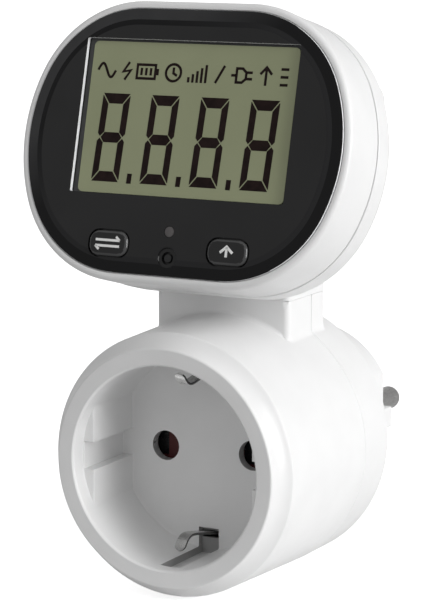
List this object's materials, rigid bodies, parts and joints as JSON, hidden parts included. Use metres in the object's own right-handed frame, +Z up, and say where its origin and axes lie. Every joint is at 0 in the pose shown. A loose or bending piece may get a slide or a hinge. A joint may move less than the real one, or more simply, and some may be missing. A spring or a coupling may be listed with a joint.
{
  "type": "plug-in power meter",
  "caption": "Round mains plug-through meter with an earthed socket in front, pins behind, and a tilted LCD head with buttons on a square neck.",
  "frame": {"origin": "centre of the plug's end face, between the two pins", "axes": "+Z up along the neck towards the display head, +Y into the wall socket along the pins, +X to the left as the wall sees it and to the right for a person facing the display"},
  "size_m": [0.0698, 0.083, 0.113],
  "materials": {
    "white_plastic": "moulded white ABS, satin gloss",
    "gloss_black": "polished black acrylic",
    "black_plastic": "satin moulded black plastic",
    "red_plastic": "moulded dark red plastic",
    "inner_plastic": "unpainted moulded polyamide",
    "lcd_glass": "reflective grey-green LCD glass",
    "indicator_plastic": "translucent grey lens",
    "circuit_board": "green solder mask",
    "capacitor_case": "yellow film capacitor case",
    "grey_rubber": "elastomer strip",
    "ribbon_jacket": "grey PVC cable jacket",
    "nickel_plated": "nickel plated brass",
    "brass_contact": "bare contact brass",
    "steel": "zinc plated steel"
  },
  "bodies": {
    "meter_body": {"front_housing": "white_plastic", "rear_housing": "white_plastic", "plug_body": "white_plastic", "line_pin": "nickel_plated", "neutral_pin": "nickel_plated", "line_socket_contact": "brass_contact", "neutral_socket_contact": "brass_contact", "contact_carrier": "inner_plastic", "shutter_spring": "steel", "earth_frame": "nickel_plated", "housing_screw_1": "steel", "housing_screw_2": "steel", "housing_screw_3": "steel", "housing_screw_4": "steel", "carrier_screw_top": "steel", "carrier_screw_bottom": "steel", "power_board": "circuit_board", "dropper_capacitor": "capacitor_case", "smoothing_capacitor": "black_plastic", "varistor": "red_plastic", "shunt_resistor": "brass_contact", "metering_chip": "black_plastic", "wire_connector": "inner_plastic", "head_front_shell": "white_plastic", "head_rear_shell": "white_plastic", "face_panel": "gloss_black", "lcd_front_glass": "lcd_glass", "lcd_rear_glass": "lcd_glass", "lcd_frame": "black_plastic", "zebra_strip": "grey_rubber", "display_board": "circuit_board", "mode_switch": "black_plastic", "up_switch": "black_plastic", "reset_switch": "black_plastic", "indicator_lens": "indicator_plastic", "display_chip": "black_plastic", "backup_battery": "steel", "display_connector": "inner_plastic", "head_screw_1": "steel", "head_screw_2": "steel", "head_screw_3": "steel", "head_screw_4": "steel", "display_cable": "ribbon_jacket"},
    "safety_shutter": {"safety_shutter": "red_plastic"},
    "earth_clip_top": {"earth_clip_top": "nickel_plated"},
    "earth_clip_bottom": {"earth_clip_bottom": "nickel_plated"},
    "mode_button": {"mode_button": "black_plastic"},
    "up_button": {"up_button": "black_plastic"},
    "reset_button": {"reset_button": "black_plastic"}
  },
  "joints": [
    {"name": "mode_button_press", "type": "slide", "parent": "meter_body", "child": "mode_button", "axis": [0, 0.9694, -0.2453], "range_m": [0, 0.0004], "stiffness_N_per_m": 400, "springref_m": -0.0003},
    {"name": "up_button_press", "type": "slide", "parent": "meter_body", "child": "up_button", "axis": [0, 0.9694, -0.2453], "range_m": [0, 0.0004], "stiffness_N_per_m": 400, "springref_m": -0.0003},
    {"name": "reset_button_press", "type": "slide", "parent": "meter_body", "child": "reset_button", "axis": [0, 0.9694, -0.2453], "range_m": [0, 0.0004], "stiffness_N_per_m": 400, "springref_m": -0.0003},
    {"name": "safety_shutter_turn", "type": "hinge", "parent": "meter_body", "child": "safety_shutter", "pos_m": [0, -0.0427, 0], "axis": [0, -1, 0], "range_deg": [0, 45], "stiffness_Nm_per_rad": 0.002, "springref_deg": -20.05},
    {"name": "earth_clip_top_flex", "type": "hinge", "parent": "meter_body", "child": "earth_clip_top", "pos_m": [0, -0.0422, 0.0172], "axis": [-1, 0, 0], "range_deg": [0, 12], "stiffness_Nm_per_rad": 0.004, "springref_deg": -5.73},
    {"name": "earth_clip_bottom_flex", "type": "hinge", "parent": "meter_body", "child": "earth_clip_bottom", "pos_m": [0, -0.0422, -0.0172], "axis": [1, 0, 0], "range_deg": [0, 12], "stiffness_Nm_per_rad": 0.004, "springref_deg": -5.73}
  ]
}
